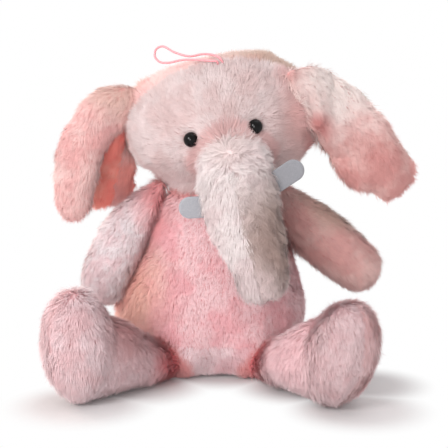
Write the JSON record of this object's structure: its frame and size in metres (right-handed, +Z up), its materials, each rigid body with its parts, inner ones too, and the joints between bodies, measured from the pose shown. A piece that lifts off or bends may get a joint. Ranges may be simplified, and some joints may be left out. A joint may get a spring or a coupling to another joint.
{
  "type": "plush elephant",
  "caption": "Sitting plush elephant in heathered pink and white fur, with a drooping ear, a folded ear, a long trunk, felt tusks and a hanging loop.",
  "frame": {"origin": "middle of the flat seat that the body rests on", "axes": "+Z up, -Y the way the elephant faces, +X towards the viewer's right"},
  "size_m": [0.3095, 0.2678, 0.2741],
  "materials": {
    "pink_fur": "matte",
    "pale_fur": "matte",
    "deep_pink_fur": "matte",
    "shaded_fur": "matte",
    "fibre_filling": "matte",
    "pellet_cloth": "matte",
    "black_gloss": "gloss",
    "white_plastic": "satin",
    "grey_felt": "matte",
    "pink_cord": "satin"
  },
  "bodies": {
    "torso": {"seat_panel": "pale_fur", "belly_panel": "pink_fur", "back_panel_left": "pink_fur", "back_panel_right": "pink_fur", "body_filling": "fibre_filling", "pellet_bag": "pellet_cloth"},
    "head": {"forehead_panel": "pale_fur", "cheek_left": "pale_fur", "cheek_right": "pale_fur", "head_back_panel": "shaded_fur", "head_filling": "fibre_filling", "eye_left": "black_gloss", "eye_washer_left": "white_plastic", "eye_right": "black_gloss", "eye_washer_right": "white_plastic", "hanging_loop": "pink_cord"},
    "trunk": {"trunk_panel_left": "pale_fur", "trunk_panel_right": "shaded_fur", "trunk_filling": "fibre_filling", "tusk_left": "grey_felt", "tusk_right": "grey_felt"},
    "ear_left": {"ear_left_outer_panel": "pink_fur", "ear_left_inner_panel": "deep_pink_fur"},
    "ear_right": {"ear_right_inner_panel": "pink_fur", "ear_right_outer_panel": "shaded_fur"},
    "arm_left": {"arm_left_front_panel": "pale_fur", "arm_left_back_panel": "pink_fur", "arm_left_filling": "fibre_filling"},
    "arm_right": {"arm_right_front_panel": "pale_fur", "arm_right_back_panel": "pink_fur", "arm_right_filling": "fibre_filling"},
    "leg_left": {"leg_left_inner_panel": "pale_fur", "leg_left_outer_panel": "pink_fur", "leg_left_filling": "fibre_filling"},
    "leg_right": {"leg_right_inner_panel": "pale_fur", "leg_right_outer_panel": "pink_fur", "leg_right_filling": "fibre_filling"},
    "tail": {"tail": "pink_fur"}
  },
  "joints": [
    {"name": "head_turn", "type": "hinge", "parent": "torso", "child": "head", "pos_m": [0, 0, 0.155], "axis": [0, 0, 1], "range_deg": [-10, 10], "stiffness_Nm_per_rad": 1},
    {"name": "trunk_lift", "type": "hinge", "parent": "head", "child": "trunk", "pos_m": [0.00356, -0.069, 0.21156], "axis": [-0.9799, 0, -0.1994], "range_deg": [0, 50], "stiffness_Nm_per_rad": 0.3},
    {"name": "ear_left_flap", "type": "hinge", "parent": "head", "child": "ear_left", "pos_m": [-0.07564, -0.022, 0.2241], "axis": [0.2296, 0, 0.9733], "range_deg": [-5, 20], "stiffness_Nm_per_rad": 0.4},
    {"name": "ear_right_flap", "type": "hinge", "parent": "head", "child": "ear_right", "pos_m": [0.06129, -0.046, 0.24372], "axis": [-0.1994, 0, 0.9799], "range_deg": [-20, 5], "stiffness_Nm_per_rad": 0.4},
    {"name": "arm_left_swing", "type": "hinge", "parent": "torso", "child": "arm_left", "pos_m": [-0.047, -0.005, 0.143], "axis": [-0.9336, 0, 0.3584], "range_deg": [-30, 20], "stiffness_Nm_per_rad": 0.4},
    {"name": "arm_right_swing", "type": "hinge", "parent": "torso", "child": "arm_right", "pos_m": [0.047, -0.005, 0.143], "axis": [-0.9336, 0, -0.3584], "range_deg": [-30, 20], "stiffness_Nm_per_rad": 0.4},
    {"name": "leg_left_lift", "type": "hinge", "parent": "torso", "child": "leg_left", "pos_m": [-0.04706, -0.05046, 0.03], "axis": [-0.7314, 0.682, 0], "range_deg": [0, 15], "stiffness_Nm_per_rad": 0.5},
    {"name": "leg_right_lift", "type": "hinge", "parent": "torso", "child": "leg_right", "pos_m": [0.03747, -0.05555, 0.03], "axis": [-0.829, -0.5592, 0], "range_deg": [0, 15], "stiffness_Nm_per_rad": 0.5},
    {"name": "tail_lift", "type": "hinge", "parent": "torso", "child": "tail", "pos_m": [0, 0.065, 0.052], "axis": [1, 0, 0], "range_deg": [0, 30], "stiffness_Nm_per_rad": 0.05}
  ]
}
